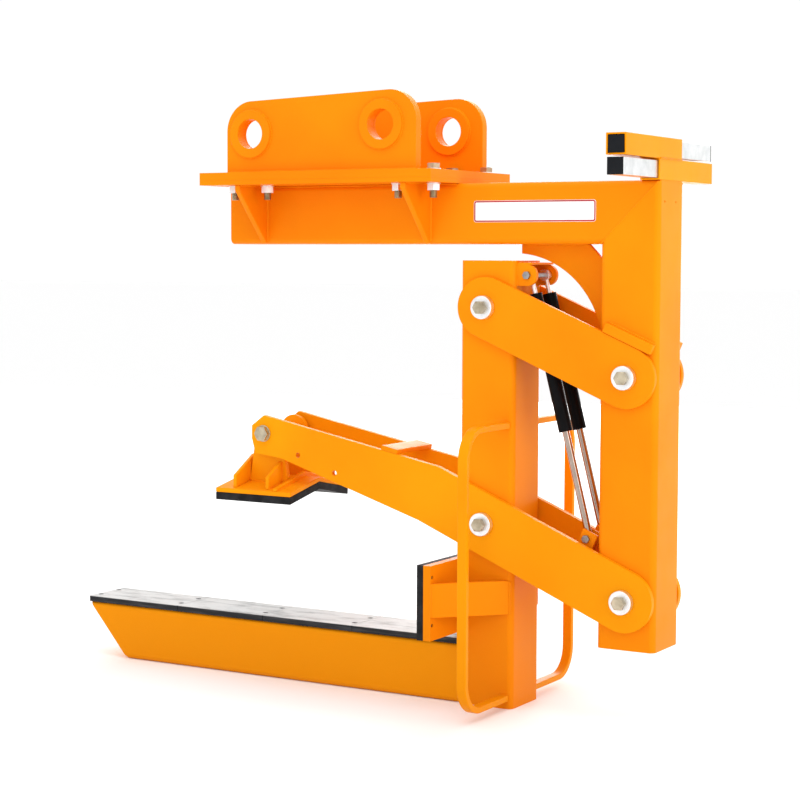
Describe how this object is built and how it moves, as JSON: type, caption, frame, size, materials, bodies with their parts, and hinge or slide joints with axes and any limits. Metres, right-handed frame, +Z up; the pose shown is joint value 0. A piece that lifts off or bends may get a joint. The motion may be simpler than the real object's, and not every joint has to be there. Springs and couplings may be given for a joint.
{
  "type": "excavator lifting clamp",
  "caption": "Hook-shaped orange lifting clamp with a bolted two-ear headstock, parallel links, a hinged shoe over a rubber-faced tine, gas struts and side handles.",
  "frame": {"origin": "on the floor under the middle of the standing clamp, centred on its overall length and width", "axes": "+X from the tine's tip towards the mast, +Y towards the rear side plates, +Z up"},
  "size_m": [1.7074, 0.598, 1.5272],
  "materials": {
    "orange_paint": "semi-gloss powder coat",
    "zinc_steel": "bright zinc plate",
    "galvanised": "bright galvanised tube",
    "black_plastic": "moulded end plug",
    "black_rubber": "ribbed black rubber",
    "black_paint": "gloss black",
    "chrome_rod": "polished chrome"
  },
  "bodies": {
    "carriage": {"carriage_post": "orange_paint", "post_top_cap": "orange_paint", "post_foot_cap": "orange_paint", "carriage_bushes": "orange_paint", "carriage_pins": "zinc_steel", "carriage_pin_caps": "zinc_steel", "carriage_cap_bolts": "zinc_steel", "tine": "orange_paint", "tine_pad": "black_rubber", "tine_pad_screws": "zinc_steel", "heel_plate": "orange_paint", "heel_rubber": "black_rubber", "heel_braces": "orange_paint", "heel_screws": "zinc_steel", "front_handle": "orange_paint", "rear_handle": "orange_paint", "strut_bracket": "orange_paint", "strut_upper_pin": "zinc_steel"},
    "lever": {"front_lever": "orange_paint", "rear_lever": "orange_paint", "arm_tie_plate": "orange_paint", "strut_anchor": "orange_paint", "strut_lower_pin": "zinc_steel", "shoe_pin": "zinc_steel", "shoe_pin_nut": "zinc_steel"},
    "frame": {"mast_tube": "orange_paint", "beam_tube": "orange_paint", "beam_end_cap": "orange_paint", "mast_foot_cap": "orange_paint", "corner_gusset": "orange_paint", "side_gussets": "orange_paint", "stop_bars": "orange_paint", "base_plate": "orange_paint", "top_plate": "orange_paint", "front_ear": "orange_paint", "rear_ear": "orange_paint", "ear_bosses": "orange_paint", "plate_bolts": "zinc_steel", "plate_nuts": "zinc_steel", "plate_washers": "zinc_steel", "mast_bushes": "orange_paint", "mast_pins": "zinc_steel", "mast_pin_caps": "zinc_steel", "mast_cap_bolts": "zinc_steel", "lower_sleeve": "orange_paint", "upper_sleeve": "orange_paint"},
    "upper_links": {"front_upper_link": "orange_paint", "rear_upper_link": "orange_paint"},
    "shoe": {"shoe_ears": "orange_paint", "shoe_hub": "orange_paint", "shoe_plate": "orange_paint", "shoe_ribs": "orange_paint", "shoe_rubber": "black_rubber"},
    "strut_barrels": {"strut_barrels": "black_paint"},
    "strut_rods": {"strut_rods": "chrome_rod"},
    "lower_bar": {"lower_bar": "galvanised", "lower_bar_plugs": "black_plastic"},
    "upper_bar": {"upper_bar": "galvanised", "upper_bar_plugs": "black_plastic"}
  },
  "joints": [
    {"name": "lever_swing", "type": "hinge", "parent": "carriage", "child": "lever", "pos_m": [0.4013, 0, 0.4602], "axis": [0, -1, 0], "range_deg": [0, 26], "stiffness_Nm_per_rad": 300, "springref_deg": -171.89},
    {"name": "frame_lift", "type": "hinge", "parent": "lever", "child": "frame", "pos_m": [0.7787, 0, 0.3], "axis": [0, -1, 0], "range_deg": [-26, 0]},
    {"name": "upper_link_swing", "type": "hinge", "parent": "frame", "child": "upper_links", "pos_m": [0.7787, 0, 0.835], "axis": [0, -1, 0], "range_deg": [0, 26]},
    {"name": "shoe_hang", "type": "hinge", "parent": "lever", "child": "shoe", "pos_m": [-0.2527, 0, 0.6532], "axis": [0, -1, 0], "range_deg": [-26, 0]},
    {"name": "strut_barrel_tilt", "type": "hinge", "parent": "carriage", "child": "strut_barrels", "pos_m": [0.5033, 0, 1.0742], "axis": [0, -1, 0], "range_deg": [0, 2]},
    {"name": "strut_rod_tilt", "type": "hinge", "parent": "lever", "child": "strut_rods", "pos_m": [0.6677, 0, 0.439], "axis": [0, -1, 0], "range_deg": [-26, 0]},
    {"name": "lower_bar_slide", "type": "slide", "parent": "frame", "child": "lower_bar", "axis": [0, -1, 0], "range_m": [0, 0.2]},
    {"name": "upper_bar_slide", "type": "slide", "parent": "frame", "child": "upper_bar", "axis": [0, 1, 0], "range_m": [0, 0.2]}
  ],
  "couplings": [
    {"joint": "upper_link_swing", "follows": "lever_swing", "ratio": 1},
    {"joint": "frame_lift", "follows": "lever_swing", "ratio": -1},
    {"joint": "shoe_hang", "follows": "lever_swing", "ratio": -1},
    {"joint": "strut_barrel_tilt", "follows": "lever_swing", "ratio": 0.068},
    {"joint": "strut_rod_tilt", "follows": "lever_swing", "ratio": -0.932}
  ]
}
